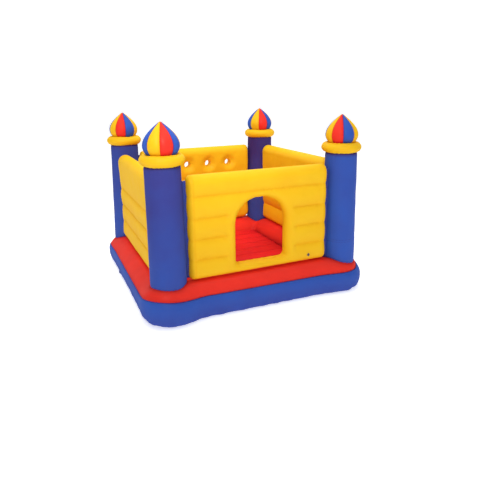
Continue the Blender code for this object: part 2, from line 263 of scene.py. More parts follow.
def vinyl(name, colour, shade, roughness=0.34):
    """Glossy sheet vinyl: fine grain, soft sheen changes, and painted shade mixed in where the crease
    attribute is high.
    """
    made, nodes, links, shader, place_of = new_material(name)
    tone = noise(nodes, links, place_of, 5.0, 3.0)
    tone_range = nodes.new("ShaderNodeMapRange")
    tone_range.inputs["From Min"].default_value = 0.3
    tone_range.inputs["From Max"].default_value = 0.7
    tone_range.inputs["To Max"].default_value = 0.14
    links.new(tone.outputs["Fac"], tone_range.inputs["Value"])

    # Painted shade: the crease attribute marks creases, seams, hollows and places under other parts;
    # with the random tone it mixes the colour toward the shade colour.
    crease = nodes.new("ShaderNodeAttribute")
    crease.attribute_name = "crease"
    shade_and_tone = nodes.new("ShaderNodeMath")
    shade_and_tone.operation = "MULTIPLY_ADD"
    shade_and_tone.inputs[1].default_value = 0.8
    shade_and_tone.use_clamp = True
    links.new(crease.outputs["Fac"], shade_and_tone.inputs[0])
    links.new(tone_range.outputs["Result"], shade_and_tone.inputs[2])
    mix = nodes.new("ShaderNodeMix")
    mix.data_type = "RGBA"
    mix.inputs["A"].default_value = (*colour, 1)
    mix.inputs["B"].default_value = (*shade, 1)
    links.new(shade_and_tone.outputs[0], mix.inputs["Factor"])
    links.new(mix.outputs["Result"], shader.inputs["Base Color"])

    sheen = noise(nodes, links, place_of, 38.0, 5.0)
    sheen_range = nodes.new("ShaderNodeMapRange")
    sheen_range.inputs["To Min"].default_value = roughness - 0.06
    sheen_range.inputs["To Max"].default_value = roughness + 0.12
    links.new(sheen.outputs["Fac"], sheen_range.inputs["Value"])
    links.new(sheen_range.outputs["Result"], shader.inputs["Roughness"])

    grain = nodes.new("ShaderNodeTexVoronoi")
    grain.inputs["Scale"].default_value = 750.0
    links.new(place_of, grain.inputs["Vector"])
    fine = bump(nodes, links, grain.outputs["Distance"], 0.12, 0.0002)
    crinkle = noise(nodes, links, place_of, 26.0, 4.0)
    crinkle.inputs["Distortion"].default_value = 0.6
    soft = bump(nodes, links, crinkle.outputs["Fac"], 0.35, 0.0012)
    links.new(fine.outputs["Normal"], soft.inputs["Normal"])
    links.new(soft.outputs["Normal"], shader.inputs["Normal"])

    sheen_loss = nodes.new("ShaderNodeMath")
    sheen_loss.operation = "MULTIPLY_ADD"
    sheen_loss.inputs[1].default_value = -0.16
    sheen_loss.inputs[2].default_value = 0.18
    links.new(crease.outputs["Fac"], sheen_loss.inputs[0])
    links.new(sheen_loss.outputs[0], shader.inputs["Coat Weight"])
    links.new(sheen_range.outputs["Result"], shader.inputs["Coat Roughness"])
    shader.inputs["Specular IOR Level"].default_value = 0.0
    shader.inputs["Subsurface Weight"].default_value = 0.06
    shader.inputs["Subsurface Radius"].default_value = (0.012, 0.006, 0.003)
    return made


def moulded(name, colour):
    """Soft moulded valve plastic, faintly speckled."""
    made, nodes, links, shader, place_of = new_material(name)
    speck = noise(nodes, links, place_of, 420.0, 3.0)
    ramp = nodes.new("ShaderNodeMix")
    ramp.data_type = "RGBA"
    ramp.inputs["A"].default_value = (*colour, 1)
    ramp.inputs["B"].default_value = (*[0.8 * c for c in colour], 1)
    links.new(speck.outputs["Fac"], ramp.inputs["Factor"])
    links.new(ramp.outputs["Result"], shader.inputs["Base Color"])
    fine = bump(nodes, links, speck.outputs["Fac"], 0.15, 0.0002)
    links.new(fine.outputs["Normal"], shader.inputs["Normal"])
    shader.inputs["Roughness"].default_value = 0.42
    return made


# Each vinyl's second colour is the painted shade colour that the crease attribute mixes in.
VINYL = {
    "blue": vinyl("blue_vinyl", (0.034, 0.105, 0.48), (0.058, 0.022, 0.12)),
    "red": vinyl("red_vinyl", (0.90, 0.040, 0.025), (0.32, 0.005, 0.013)),
    # The jump floor's red is a darker copy of the ring's red: painted shade on the floor.
    "floor": vinyl("red_vinyl_floor_shaded", (0.80, 0.022, 0.022), (0.32, 0.005, 0.013)),
    "yellow": vinyl("yellow_vinyl", (0.88, 0.52, 0.014), (0.78, 0.28, 0.004)),
}
VALVE_PLASTIC = moulded("valve_plastic", (0.035, 0.03, 0.07))
VALVE_SEATS = {
    "blue": moulded("valve_plastic_blue", (0.018, 0.075, 0.40)),
    "yellow": moulded("valve_plastic_yellow", (0.86, 0.48, 0.004)),
}


# ---- base ----

def side_pull(along):
    share = np.clip((np.abs(along) - PULL_FLAT) / (HALF - CORNER_R - PULL_FLAT), 0, 1)
    return (1 - share * share) ** 2


def base_outline(inset, straight=110, arc=30):
    """Rounded square inset from the base's outer side, as (columns, 2), with its drawn-in sides."""
    half = HALF - inset
    radius = max(CORNER_R - inset, 0.045)
    reach = half - radius
    u = np.linspace(-reach, reach, straight, endpoint=False)
    angle = np.linspace(0, pi / 2, arc, endpoint=False)
    y = np.concatenate([u, reach + radius * np.sin(angle)])
    pull_share = max(0.0, 1 - inset / 0.2)
    quarters = []
    for pull, skew, (c, s) in zip(SIDE_PULLS, SIDE_SKEWS, ((1, 0), (0, 1), (-1, 0), (0, -1))):
        drawn_in = pull * pull_share * side_pull(u) * (1 - skew * u)
        x = np.concatenate([half - drawn_in, reach + radius * np.cos(angle)])
        quarters.append(np.stack([(c * x - s * y) * (1 + WIDEN * pull_share), s * x + c * y], axis=1))
    return np.vstack(quarters)


def left_share(x):
    """1 along the left side and 0 over the rest of the base."""
    return smoothstep(-x, 0.62, 0.82)


def raised(x, y, z, fall):
    """Height of a point of the base once its weld is dropped and its crown lifted."""
    corner = np.exp(-((x + 0.8) ** 2 + (y + 0.8) ** 2) / 0.2 ** 2)
    drop = np.maximum(LEFT_DROP * left_share(x), FRONT_DROP * smoothstep(-y, 0.62, 0.82)) * (1 - corner)
    lift = FRONT_LIFT * smoothstep(-y, 0.65, 0.75) + CORNER_LIFT * corner
    crown = np.sqrt(np.maximum(z - SEAM_Z, 0.0) / (RING_TOP - SEAM_Z))
    return z - drop * fall + lift * crown


def weld_fall(inset, z, top):
    """Share of the weld's drop along the left side that a level follows."""
    if top:
        return np.where(inset < 0.15, (RING_TOP - z) / (RING_TOP - SEAM_Z), 0.0)
    return (z / SEAM_Z) ** 4


def base_level(inset, z, fall):
    level = base_outline(inset)
    share = left_share(level[:, :1])
    level = level + (base_outline(max(inset - LEFT_OUT * fall, 0.0)) - level) * share
    return np.column_stack([level, raised(level[:, 0], level[:, 1], z, fall)])


SEAM_INSET = 0.032
SIDE_CURVE = ((0.075, 0.0), (0.055, 0.001), (0.027, 0.012), (0.007, 0.042), (0.0, 0.085),
              (0.003, 0.125), (0.015, 0.163), (SEAM_INSET, SEAM_Z))
TOP_CURVE = ((SEAM_INSET, SEAM_Z), (0.058, 0.219), (0.098, 0.2385), (0.15, RING_TOP),
             (0.21, 0.2425), (0.255, 0.230), (0.293, 0.208), (0.322, 0.178), (0.340, 0.146),
             (0.3453, 0.115), (0.3456, 0.085))
CROWN_STEPS = 9


def inset_at(x, y):
    """Distance of points from the base's outer side, sides taken as straight."""
    reach = HALF - CORNER_R
    ax, ay = np.abs(x), np.abs(y)
    corner = CORNER_R - np.hypot(ax - reach, ay - reach)
    return np.where(np.minimum(ax, ay) > reach, corner, HALF - np.maximum(ax, ay))


def ring_height(x, y):
    """Height of the ring's crown over points, without the waves."""
    curve = curve_through(TOP_CURVE, CROWN_STEPS)[:8 * CROWN_STEPS]
    fall = weld_fall(curve[:, 0], curve[:, 1], True)
    widened = 1 + WIDEN * np.maximum(0, 1 - inset_at(x, y) / 0.2)
    heights = []
    for at, at_x, at_y, share in zip(inset_at(x / widened, y), x, y, left_share(x)):
        levels = raised(at_x, at_y, curve[:, 1], fall)
        heights.append(np.interp(at, curve[:, 0] - LEFT_OUT * fall * share, levels))
    return np.array(heights)


def base_surface(curve, top):
    """Grid swept round the base, with the distance along its weld and across its section."""
    profile = curve_through(curve, CROWN_STEPS)
    falls = weld_fall(profile[:, 0], profile[:, 1], top)
    points = np.array([base_level(inset, z, fall) for (inset, z), fall in zip(profile, falls)])
    outline = base_outline(0.0)
    step = np.linalg.norm(np.roll(outline, -1, axis=0) - outline, axis=1)
    along = np.concatenate([[0], np.cumsum(step)[:-1]])
    arc = np.concatenate([[0], np.cumsum(np.linalg.norm(np.diff(profile, axis=0), axis=1))])
    return points, profile, along, arc


def wrap_waves(along, seed, low, high):
    """1-D noise that closes on itself round the base."""
    total = along[-1] + along[1]
    angle = 2 * pi * along / total
    rng = np.random.default_rng(seed)
    made = np.zeros_like(along)
    for _ in range(8):
        turns = round(total / rng.uniform(low, high))
        made += np.sin(turns * angle + rng.uniform(0, 2 * pi))
    return made / 8 ** 0.5 / 1.4


def near_valve(points, centre, radius=0.026):
    return np.exp(-(np.linalg.norm(points - np.array(centre), axis=-1) / radius) ** 4)


def seam_relief(away, along, seed):
    """Groove and puckers at a distance from a weld that runs round the base."""
    groove = -0.0022 * np.exp(-(away / 0.0045) ** 2)
    pucker = -0.0016 * np.exp(-away / 0.022) * (0.6 + wrap_waves(along, seed, 0.022, 0.05))
    return groove + pucker


def base():
    side, _, along, arc = base_surface(SIDE_CURVE, False)
    normal = grid_normals(side, True)
    away = (arc[-1] - arc)[:, None]
    relief = seam_relief(away, along, 3)
    relief += 0.0018 * clouds(side, 0.19, 5) * smoothstep(side[..., 2], 0.0, 0.05)
    corner = smoothstep(np.minimum(np.abs(side[..., 0]), np.abs(side[..., 1])), 0.42, 0.62)
    fold = np.abs(wrap_waves(along, 9, 0.045, 0.10))[None, :]
    z = side[..., 2]
    relief -= 0.0035 * corner * fold * smoothstep(z, 0.16, 0.03) * smoothstep(z, 0.0, 0.02)
    lower = 0.004 * wrap_waves(along, 12, 0.09, 0.22)[None, :] * np.exp(-((z - 0.02) / 0.022) ** 2)
    relief += lower * smoothstep(z, 0.0, 0.008)
    side = side + normal * relief[..., None]
    side[..., 2] = np.maximum(side[..., 2], 0.0)
    side[..., :2] = np.clip(side[..., :2], BASE_LOW, BASE_HIGH)
    valve_at = valve_point("base_valve")
    flat = near_valve(side, valve_at)
    side[..., 0] = side[..., 0] * (1 - flat) + valve_at[0] * flat
    # Painted shade: along the weld at the top of the side, at the foot where the base meets the ground,
    # and darker towards the bottom.
    crease = np.exp(-away / 0.006) + 0 * relief
    crease = np.maximum(crease, 0.7 * np.exp(-side[..., 2] / 0.012))
    crease = np.maximum(crease, 0.4 * smoothstep(side[..., 2], 0.17, 0.0))

    rings = np.linspace(1, 0.04, 26)
    under = np.array([side[0] * share for share in rings])
    under[..., 2] = 0.003 * (0.5 - 0.5 * np.cos(2 * pi * under[..., 1] * CHANNELS / FLOOR_HALF / 2))
    under[..., 2] *= smoothstep(rings, 1.0, 0.93)[:, None]
    centre = np.zeros((1, under.shape[1], 3))
    bottom = np.concatenate([centre, under[::-1]])
    points = np.concatenate([bottom, side[1:]])
    # Painted shade on the underside.
    crease = np.concatenate([np.full(bottom.shape[:2], 0.2), crease[1:]])
    made = grid_object("base_side", points, VINYL["blue"], True, crease)
    tidy_mesh(made)
    place(made, "blue_vinyl", "base_tray_skin", fill=0.9)

    top, profile, along, arc = base_surface(TOP_CURVE, True)
    normal = grid_normals(top, True)
    away = arc[:, None]
    relief = seam_relief(away, along, 3) + 0.0016 * clouds(top, 0.16, 6) * smoothstep(away, 0.0, 0.05)
    above_floor = np.maximum(top[..., 2] - FLOOR_EDGE, 0)
    at_floor = np.exp(-above_floor / 0.016) * (profile[:, 0] > 0.28)[:, None]
    relief -= 0.0022 * at_floor * (0.5 + wrap_waves(along, 14, 0.025, 0.06))
    right_side = 0.5 + 0.5 * smoothstep(top[..., 0] - np.abs(top[..., 1]), -0.05, 0.05)
    inside = (profile[:, 0] > 0.22)[:, None]
    # Painted shade: along the weld, in a band where the ring meets the floor (wider on the right side),
    # and in the inner corners.
    crease = 0.5 * np.exp(-away / 0.006)
    crease = crease + right_side * np.exp(-above_floor / (0.045 * right_side)) * inside
    inner_corner = np.hypot(FLOOR_HALF - np.abs(top[..., 0]), FLOOR_HALF - np.abs(top[..., 1]))
    crease = np.maximum(crease, 0.6 * np.exp(-inner_corner / 0.03))
    for name, (foot_x, _, _) in TOWERS.items():
        centre_y = tower_y(name)
        gap = np.hypot(top[..., 0] - foot_x, top[..., 1] - centre_y) - TOWER_FOOT_R
        turn = np.arctan2(top[..., 1] - centre_y, top[..., 0] - foot_x) * TOWER_FOOT_R
        foot = np.exp(-np.abs(gap) / 0.02) * (top[..., 2] > 0.14)
        relief -= foot * (0.0035 + 0.0016 * waves(turn, 21, 0.02, 0.04))
        # painted shade round the tower's foot
        crease = np.maximum(crease, 0.8 * np.exp(-np.abs(gap) / 0.008) * (top[..., 2] > 0.14))
    top = top + normal * relief[..., None]
    top[..., :2] = np.clip(top[..., :2], BASE_LOW, BASE_HIGH)
    made = grid_object("base_ring_top", top, VINYL["red"], True, np.clip(crease, 0, 1))
    tidy_mesh(made)
    strips = [f"base_ring_{way}_skin" for way in SIDES]
    place(made, "red_vinyl", *strips, fill=0.9)


# ---- jump floor ----

def floor_height(x, y):
    share = (y / FLOOR_HALF + 1) / 2 * CHANNELS
    arch = np.abs(np.sin(pi * share)) ** 0.62
    to_edge = FLOOR_HALF - np.maximum(np.abs(x), np.abs(y))
    flat = round_edge(FLOOR_HALF - np.abs(x), 0.09) * round_edge(FLOOR_HALF - np.abs(y), 0.05)
    valley = np.exp(-np.abs(np.sin(pi * share)) / 0.28)
    pucker = 0.0012 * valley * waves(x, 31, 0.022, 0.05)
    slow = 0.0015 * np.sin(2 * pi * x / 0.41 + 3 * share) * arch
    fine = 0.0011 * np.cos(2 * pi * y / 0.066 + 0.5 * np.sin(2 * pi * x / 0.5))
    edge = (FLOOR_LOW - FLOOR_EDGE) * (1 - round_edge(to_edge, 0.06))
    return FLOOR_LOW - edge + flat * ((FLOOR_HIGH - FLOOR_LOW) * arch + pucker + slow + fine)


def jump_floor():
    """Four mitred panels that stay joined at the floor's edge."""
    rows, columns = 100, 150
    inward = np.linspace(0, 1, rows) ** 1.15
    across = np.linspace(-1, 1, columns)
    for number, (c, s) in enumerate(((1, 0), (0, 1), (-1, 0), (0, -1))):
        v = -FLOOR_HALF * (1 - inward)[:, None] + 0 * across
        u = -v * across
        x, y = c * u - s * v, s * u + c * v
        step = 0.0008
        slope_x = (floor_height(x + step, y) - floor_height(x - step, y)) / (2 * step)
        slope_y = (floor_height(x, y + step) - floor_height(x, y - step)) / (2 * step)
        points = np.stack([x, y, floor_height(x, y)], axis=-1)
        share = (y / FLOOR_HALF + 1) / 2 * CHANNELS
        # Painted shade along the channel valleys and in a band at the floor's edge, wider on the right
        # panel.
        crease = 0.45 * np.exp(-np.abs(np.sin(pi * share)) / 0.12)
        edge_shade = 0.045 if number == 1 else 0.02
        crease = np.maximum(crease, np.exp(-np.maximum(FLOOR_HALF + v - 0.006, 0) / edge_shade))
        made = grid_object(f"jump_floor_panel_{number + 1}", points, VINYL["floor"], False, crease)
        normal = np.stack([-slope_x, -slope_y, np.ones_like(x)], axis=-1)
        normal /= np.linalg.norm(normal, axis=-1, keepdims=True)
        made.data.normals_split_custom_set_from_vertices(normal.reshape(-1, 3).tolist())
        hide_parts("jump_floor_skin")
        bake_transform(made)


# ---- towers ----

def tower_y(name):
    low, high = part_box(f"{name}_collar_skin")
    return (low.y + high.y) / 2


def tower(name, seed):
    foot_x, head_x, _ = TOWERS[name]
    centre_y = tower_y(name)
    top = TOWER_TOP + 0.012
    columns, rows = 128, 150
    angle = np.linspace(0, 2 * pi, columns, endpoint=False)
    foot_edge = (foot_x + TOWER_FOOT_R * np.cos(angle), centre_y + TOWER_FOOT_R * np.sin(angle))
    foot = ring_height(*foot_edge) - FOOT_SINK
    share = np.linspace(0, 1, rows)[:, None]
    z = foot + (top - foot) * share
    up = z - foot
    down = top - z
    r = TOWER_FOOT_R + (TOWER_HEAD_R - TOWER_FOOT_R) * share
    r = r * (1 - 0.055 * np.exp(-up / 0.010)) - 0.022 * (1 - round_edge(down, 0.030))
    turn = angle * TOWER_FOOT_R
    around = 2 * pi * TOWER_FOOT_R
    closing = np.cos(angle / 2) ** 2
    gathers = waves(turn, seed, 0.016, 0.034) * closing
    gathers = gathers + waves(turn - around, seed, 0.016, 0.034) * (1 - closing)
    r = r + 0.0018 * np.exp(-up / 0.035) * gathers + 0.0022 * np.exp(-down / 0.05) * gathers
    centre_x = foot_x + (head_x - foot_x) * share
    points = np.stack([centre_x + r * np.cos(angle), centre_y + r * np.sin(angle), z], axis=-1)
    normal = grid_normals(points, True)
    outward = normal[..., 0] * np.cos(angle) + normal[..., 1] * np.sin(angle)
    normal = normal * np.sign(outward)[..., None]
    weld = 0.40 + 0.002 * np.sin(angle)
    band = np.exp(-((z - weld) / 0.007) ** 4)
    inward = np.arctan2(-centre_y, -foot_x)
    off = np.abs((angle - inward + pi) % (2 * pi) - pi) * TOWER_FOOT_R
    strip = np.exp(-(off / 0.007) ** 4)
    relief = 0.0007 * np.maximum(band, strip) + 0.0013 * clouds(points, 0.19, seed + 1)
    relief -= 0.0010 * np.exp(-np.abs(z - weld) / 0.02) * (0.5 + 0.5 * gathers) * (1 - band)
    points = points + normal * relief[..., None]
    # Painted shade at the foot, under the collar and beside the weld band, plus the TOWER_SHADE painted
    # shade that grows towards the neck.
    crease = np.maximum(np.exp(-up / 0.010), np.exp(-np.maximum(down - 0.014, 0) / 0.014))
    crease = np.maximum(crease, 0.30 * np.exp(-((np.abs(z - weld) - 0.008) / 0.0025) ** 2))
    crease = np.maximum(crease, TOWER_SHADE[name] * (0.35 + 0.65 * smoothstep(z, 0.25, 1.0)))
    made = grid_object(f"{name}_tower", points, VINYL["blue"], True, crease)
    tidy_mesh(made)
    place(made, "blue_vinyl", f"{name}_tower_skin", fill=0.95)


def collar(name, seed):
    low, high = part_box(f"{name}_collar_skin")
    centre = (low + high) / 2
    tube = (high.z - low.z) / 2
    major = (high.x - low.x) / 2 - tube
    columns, rows = 160, 56
    around = np.linspace(0, 2 * pi, columns, endpoint=False)
    section = np.linspace(0, 2 * pi, rows)[:, None]
    turns = np.zeros_like(around)
    rng = np.random.default_rng(seed)
    for _ in range(7):
        turns += np.sin(rng.integers(16, 44) * around + rng.uniform(0, 2 * pi))
    turns /= 3.2
    slow = 0.03 * np.sin(3 * around + seed) + 0.02 * np.sin(5 * around + 2 * seed)
    inner = (0.5 - 0.5 * np.cos(section)) ** 2
    r = tube * (1 + slow) * (1 - 0.045 * np.cos(section) ** 2 * np.sin(section) ** 2)
    r = r - 0.0030 * inner * (0.5 + turns) - 0.0007 * turns
    weld = sum(np.exp(-np.abs((section - at) * tube) / 0.004) for at in COLLAR_WELDS)
    r = r - 0.0020 * weld
    out = major + r * np.cos(section)
    z = centre.z - r * np.sin(section) * 0.97
    points = np.stack([centre.x + out * np.cos(around), centre.y + out * np.sin(around), z], axis=-1)
    # Painted shade at the welds and on the collar's inner side.
    crease = np.clip(weld * 0.8 + 0.5 * inner, 0, 1) + 0 * r
    made = grid_object(f"{name}_collar", points, VINYL["yellow"], True, crease)
    tidy_mesh(made)
    place(made, "yellow_vinyl", f"{name}_collar_skin", fill=0.95)


# radius and height of the onion dome from its neck to its tip
DOME_CURVE = ((0.078, 0.0), (0.095, 0.009), (0.111, 0.028), (0.121, 0.052), (0.1225, 0.078),
              (0.1135, 0.108), (0.093, 0.140), (0.067, 0.168), (0.041, 0.191), (0.021, 0.207),
              (0.009, 0.2160), (0.0006, 0.2190))


def gore(name, number, centre, foot, start):
    """One lobed panel of the onion dome, puckered along both of its welds."""
    profile = curve_through(DOME_CURVE, 6)
    across = 22
    share = (0.5 - 0.5 * np.cos(np.linspace(0, pi, across)))[None, :]
    radius = profile[:, :1]
    arc = np.concatenate([[0], np.cumsum(np.linalg.norm(np.diff(profile, axis=0), axis=1))])[:, None]
    lobe = 0.935 + 0.065 * np.sin(pi * share) ** 0.75
    to_seam = np.minimum(share, 1 - share) * radius * 2 * pi / GORES
    fade = smoothstep(arc, 0.0, 0.04) * smoothstep(arc, arc.max(), arc.max() - 0.06)
    pucker = waves(arc, 50 + number, 0.012, 0.026) * np.exp(-to_seam / 0.012) * fade
    neck = waves(share * radius, 70 + number, 0.010, 0.018) * np.exp(-arc / 0.016)
    r = radius * lobe - 0.0011 * (0.4 + pucker) * np.exp(-to_seam / 0.015)
    r = r - 0.0016 * neck * np.sin(pi * share)
    angle = start + 2 * pi / GORES * share
    points = np.stack([centre.x + r * np.cos(angle), centre.y + r * np.sin(angle),
                       foot + profile[:, 1:] + 0 * r], axis=-1)
    # Painted shade along both welds and at the neck.
    crease = np.maximum(np.exp(-to_seam / 0.003), np.exp(-arc / 0.02) + 0 * r)
    colour = GORE_COLOURS[number - 1]
    made = grid_object(f"{name}_gore_panel_{number}_{colour}", points, VINYL[colour], False, crease)
    tidy_mesh(made)
    place(made, f"{colour}_vinyl", f"{name}_gore_{number}_{colour}", fill=0.95)


def corner_tower(name, index):
    tower(name, 100 + index)
    collar(name, 120 + index)
    _, head_x, turn = TOWERS[name]
    low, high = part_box(f"{name}_gore_1_blue")
    foot = high.z - DOME_CURVE[-1][1]
    centre = Vector((head_x, tower_y(name), 0))
    seam = -pi / 2 - radians(turn)
    for number in range(1, GORES + 1):
        gore(name, number, centre, foot, seam + (number - 3) * 2 * pi / GORES)


# ---- walls ----

WALL_END = 0.548      # half length of the visible wall, short of the towers
SCALLOP = 0.005       # how far each crease draws the ends in
END_R = 0.036
CORNER = 0.036
TOP_R = 0.062         # rounding of the top tube
LOW_R = 0.046         # rounding of the lower edge
DOOR_EDGE_R = 0.050
END_SEAM = 0.034      # weld that runs up beside each end
TOP_SWELL = 0.004     # how much thicker the top tube is
CREASE_DIP = 0.0175
CREASE_GROOVE = 0.0022
# half lengths towards negative and positive positions along each wall
FRONT_ENDS = (WALL_END, 0.537)
RIGHT_ENDS = (WALL_END, 0.580)
BACK_ENDS = (0.538, WALL_END)
BACK_LOW_CUT = 0.075  # larger corner that leaves a gap beside the back right tower


class Wall:
    """One wall: its creases, holes and relief as a half thickness over (along, height)."""

    def __init__(self, name, turn, creases, seed, at=WALL_AT, holes=(), smooth_zone=0.0, dimple=False,
                 ends=(WALL_END, WALL_END), low_cut=CORNER):
        self.name, self.turn, self.creases, self.seed, self.at = name, turn, creases, seed, at
        self.holes, self.smooth_zone, self.dimple = holes, smooth_zone, dimple
        self.ends, self.low_cut = ends, low_cut
        self.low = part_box(f"{name}_skin")[0].z

    def arch(self, z):
        """0 at a crease and 1 in the middle of a rib, with the number of the nearest crease."""
        edges = np.array([self.low - 0.03, *self.creases, WALL_HIGH + 0.03])
        rib = np.clip(np.searchsorted(edges, z) - 1, 0, len(edges) - 2)
        share = (z - edges[rib]) / (edges[rib + 1] - edges[rib])
        shape = np.clip(1 - (2 * share - 1) ** 2, 0, 1) ** 0.85
        lowest = (rib == 0) & (share < 0.5)
        highest = (rib == len(edges) - 2) & (share > 0.5)
        return np.where(lowest | highest, 1.0, shape)

    def end(self, s, z):
        """Half length at a height: drawn in at each crease."""
        return np.where(s < 0, *self.ends) - SCALLOP * (1 - self.arch(z))

    def corners(self, s):
        """How far the lower and upper corners cut into the height, at s of the undrawn outline."""
        cuts = []
        for radius in (np.where(s < 0, self.low_cut, CORNER), CORNER):
            over = np.clip((np.abs(s) - (WALL_END - radius)) / radius, 0, 1)
            cuts.append(radius * (1 - np.sqrt(np.clip(1 - over * over, 0, 1))))
        return cuts

    def hole_distance(self, s, z):
        distance = np.full(s.shape, 9.0)
        for hole in self.holes:
            for x, y in hole:
                distance = np.minimum(distance, np.hypot(s - x, z - y))
        return distance

    def crease_weight(self, s, z, hole):
        weight = 0.30 + 0.70 * smoothstep(self.end(s, z) - np.abs(s), 0.01, 0.085)
        if self.smooth_zone:
            top = z > (self.creases[-1] + self.creases[-2]) / 2
            clear = smoothstep(hole, self.smooth_zone, self.smooth_zone + 0.05)
            weight = weight * np.where(top, 1.0, clear)
        return weight

    def depth(self, s, z):
        """Half thickness and painted shade at points of the wall: at the creases, the lower edge, the
        ends, the end seams and round the holes.
        """
        hole = self.hole_distance(s, z)
        weight = self.crease_weight(s, z, hole)
        near = (1 - self.arch(z)) * weight
        full = RIB_HALF + TOP_SWELL * (z > self.creases[-1]) * self.arch(z)
        thick = full - CREASE_DIP * near
        to_crease = np.min([np.abs(z - c) for c in self.creases], axis=0)
        points = np.stack([s, z, 0 * s + self.seed], axis=-1)
        gather = waves(s, self.seed, 0.020, 0.046)
        relief = 0.0021 * np.exp(-to_crease / 0.017) * gather * weight
        relief -= CREASE_GROOVE * np.exp(-(to_crease / 0.006) ** 2) * weight
        slow, quick = clouds(points, 0.21, self.seed + 2), clouds(points, 0.07, self.seed + 3)
        relief += 0.0018 * slow + 0.0009 * quick
        to_end = self.end(s, z) - np.abs(s)
        low_cut, high_cut = self.corners(s * WALL_END / self.end(s, z))
        to_top = WALL_HIGH - high_cut - z
        to_low = z - self.low - low_cut
        relief += 0.0022 * np.exp(-to_end / 0.035) * waves(z, self.seed + 4, 0.020, 0.042)
        relief += 0.0012 * np.exp(-to_top / 0.045) * waves(s, self.seed + 5, 0.022, 0.05)
        relief += 0.0018 * np.exp(-to_low / 0.040) * waves(s, self.seed + 6, 0.022, 0.05)
        share = round_edge(to_end, END_R) * round_edge(to_top, TOP_R) * round_edge(to_low, LOW_R)
        end_seam = np.exp(-((to_end - END_SEAM) / 0.006) ** 2)
        relief -= 0.0013 * end_seam
        # Painted shade at the creases, along the lower edge, at the ends and along the end seams.
        shade = 0.42 * np.exp(-to_crease / 0.009) * weight + 0.35 * np.exp(-to_low / 0.014)
        shade = shade + 0.30 * np.exp(-to_end / 0.012) + 0.25 * end_seam
        if self.holes and self.dimple:
            share = share * (0.55 + 0.45 * smoothstep(hole, -0.02, 0.06))
            share = share * smoothstep(hole, -0.001, 0.0012)
            relief += 0.0018 * np.exp(-hole / 0.028) * self.spokes(s, z)
            # painted shade round each porthole's rim
            shade = shade + 0.3 * np.exp(-hole / 0.004)
        elif self.holes:
            share = share * round_edge(hole, DOOR_EDGE_R)
            ring = waves(s + z, self.seed + 7, 0.022, 0.05)
            relief += 0.0014 * np.exp(-hole / 0.03) * ring
            # painted shade round the door's edge
            shade = shade + 0.4 * np.exp(-hole / 0.006)
        return np.maximum(share * (thick + relief), 0.0), np.clip(shade, 0, 1)

    def spokes(self, s, z):
        """Puckers that radiate from the nearest porthole."""
        nearest = np.full(s.shape, 9.0)
        spoke = np.zeros(s.shape)
        for index, hole in enumerate(self.holes):
            x, y = np.mean(hole, axis=0)
            away = np.hypot(s - x, z - y)
            turn = np.arctan2(z - y, s - x)
            value = np.sin(9 * turn + index) * 0.6 + np.sin(14 * turn + 2.3 * index) * 0.5
            spoke = np.where(away < nearest, value, spoke)
            nearest = np.minimum(away, nearest)
        return spoke


def steps_between(low, high, size, edge, edge_steps):
    """Positions from low to high, gathered towards both ends to follow their rounding."""
    close = edge * (1 - np.cos(np.linspace(0, pi / 2, edge_steps)))
    count = max(2, round((high - low - 2 * edge) / size))
    middle = np.linspace(low + edge, high - edge, count + 1)[1:-1]
    return np.concatenate([low + close, middle, (high - close)[::-1]])


def outline_radius(hole, centre, angle):
    """Distance from the centre of a hole to its outline in given directions."""
    way = np.array(hole) - centre
    turn = np.arctan2(way[:, 1], way[:, 0])
    order = np.argsort(turn)
    turn, far = turn[order], np.hypot(way[:, 0], way[:, 1])[order]
    turn = np.concatenate([turn - 2 * pi, turn, turn + 2 * pi])
    return np.interp(angle, turn, np.tile(far, 3))


